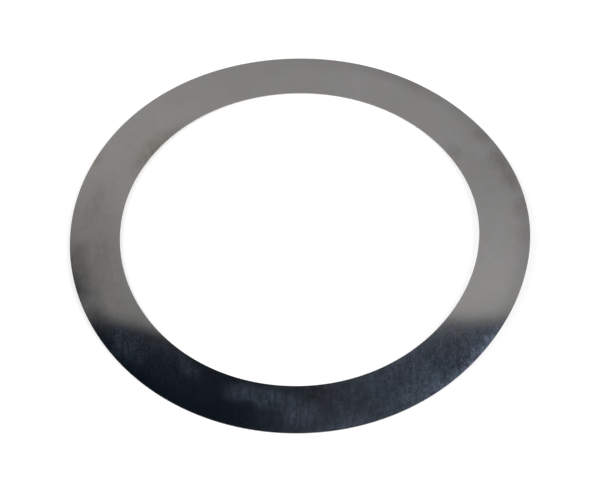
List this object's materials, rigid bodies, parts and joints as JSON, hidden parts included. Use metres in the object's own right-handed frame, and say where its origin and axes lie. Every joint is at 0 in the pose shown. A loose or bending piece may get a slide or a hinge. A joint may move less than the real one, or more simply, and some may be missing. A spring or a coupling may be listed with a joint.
{
  "type": "shim ring",
  "caption": "Thin flat steel ring with a wide plain bore, blanked from hard strip; it takes up axial play between a bearing and its shoulder or retaining ring.",
  "frame": {"origin": "centre of the bore, on the lower flat face that the ring lies on", "axes": "+Z along the axis of the bore, from the lower face (burr side) up to the upper face (punch side); the ring is round, so X and Y only mark the strip: its rolling direction runs along Y"},
  "size_m": [0.0896, 0.0896, 0.0002],
  "materials": {
    "steel_strip": "bright cold-rolled strip with a light oil film, faint rolling grain, tumbled cut edges"
  },
  "bodies": {
    "root": {"shim_ring": "steel_strip"}
  },
  "joints": []
}
